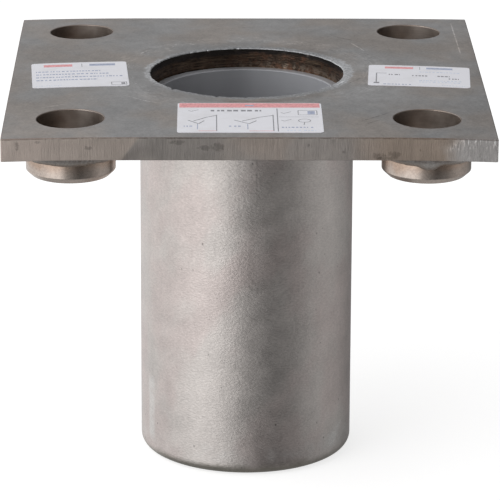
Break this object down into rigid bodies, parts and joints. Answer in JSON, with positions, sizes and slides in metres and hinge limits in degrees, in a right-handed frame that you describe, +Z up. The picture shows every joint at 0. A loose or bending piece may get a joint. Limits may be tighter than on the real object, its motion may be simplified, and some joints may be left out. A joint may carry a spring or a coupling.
{
  "type": "flush floor mount sleeve",
  "caption": "Square steel floor plate with a closed round sleeve below it, lined to hold a removable mast, and with sunken corner cups for floor anchors.",
  "frame": {"origin": "centre of the sleeve's closed bottom, on the surface that it stands on", "axes": "+Z up along the sleeve and out of its mouth; +Y towards the plate's rear edge; the largest label lies along the front edge, on the -Y side; +X to the right seen from the front"},
  "size_m": [0.25, 0.25, 0.2087],
  "materials": {
    "plate_steel": "hot-rolled stainless plate, dull and mottled, ground round the sleeve",
    "sleeve_steel": "pickled satin stainless with weld tint and water marks",
    "cup_steel": "turned satin stainless with a brown weld tint",
    "weld_steel": "rippled grey weld metal",
    "liner_plastic": "smooth light grey plastic",
    "label_film": "printed white polyester film"
  },
  "bodies": {
    "root": {"base_plate": "plate_steel", "sleeve_tube": "sleeve_steel", "sleeve_bottom": "sleeve_steel", "sleeve_liner": "liner_plastic", "sleeve_groove_weld": "weld_steel", "sleeve_fillet_weld": "weld_steel", "sleeve_bottom_weld": "sleeve_steel", "anchor_cup_front_left": "cup_steel", "anchor_cup_front_right": "cup_steel", "anchor_cup_rear_left": "cup_steel", "anchor_cup_rear_right": "cup_steel", "cup_weld_front_left": "weld_steel", "cup_weld_front_right": "weld_steel", "cup_weld_rear_left": "weld_steel", "cup_weld_rear_right": "weld_steel", "instruction_label": "label_film", "identity_label": "label_film", "inspection_label": "label_film"}
  },
  "joints": []
}
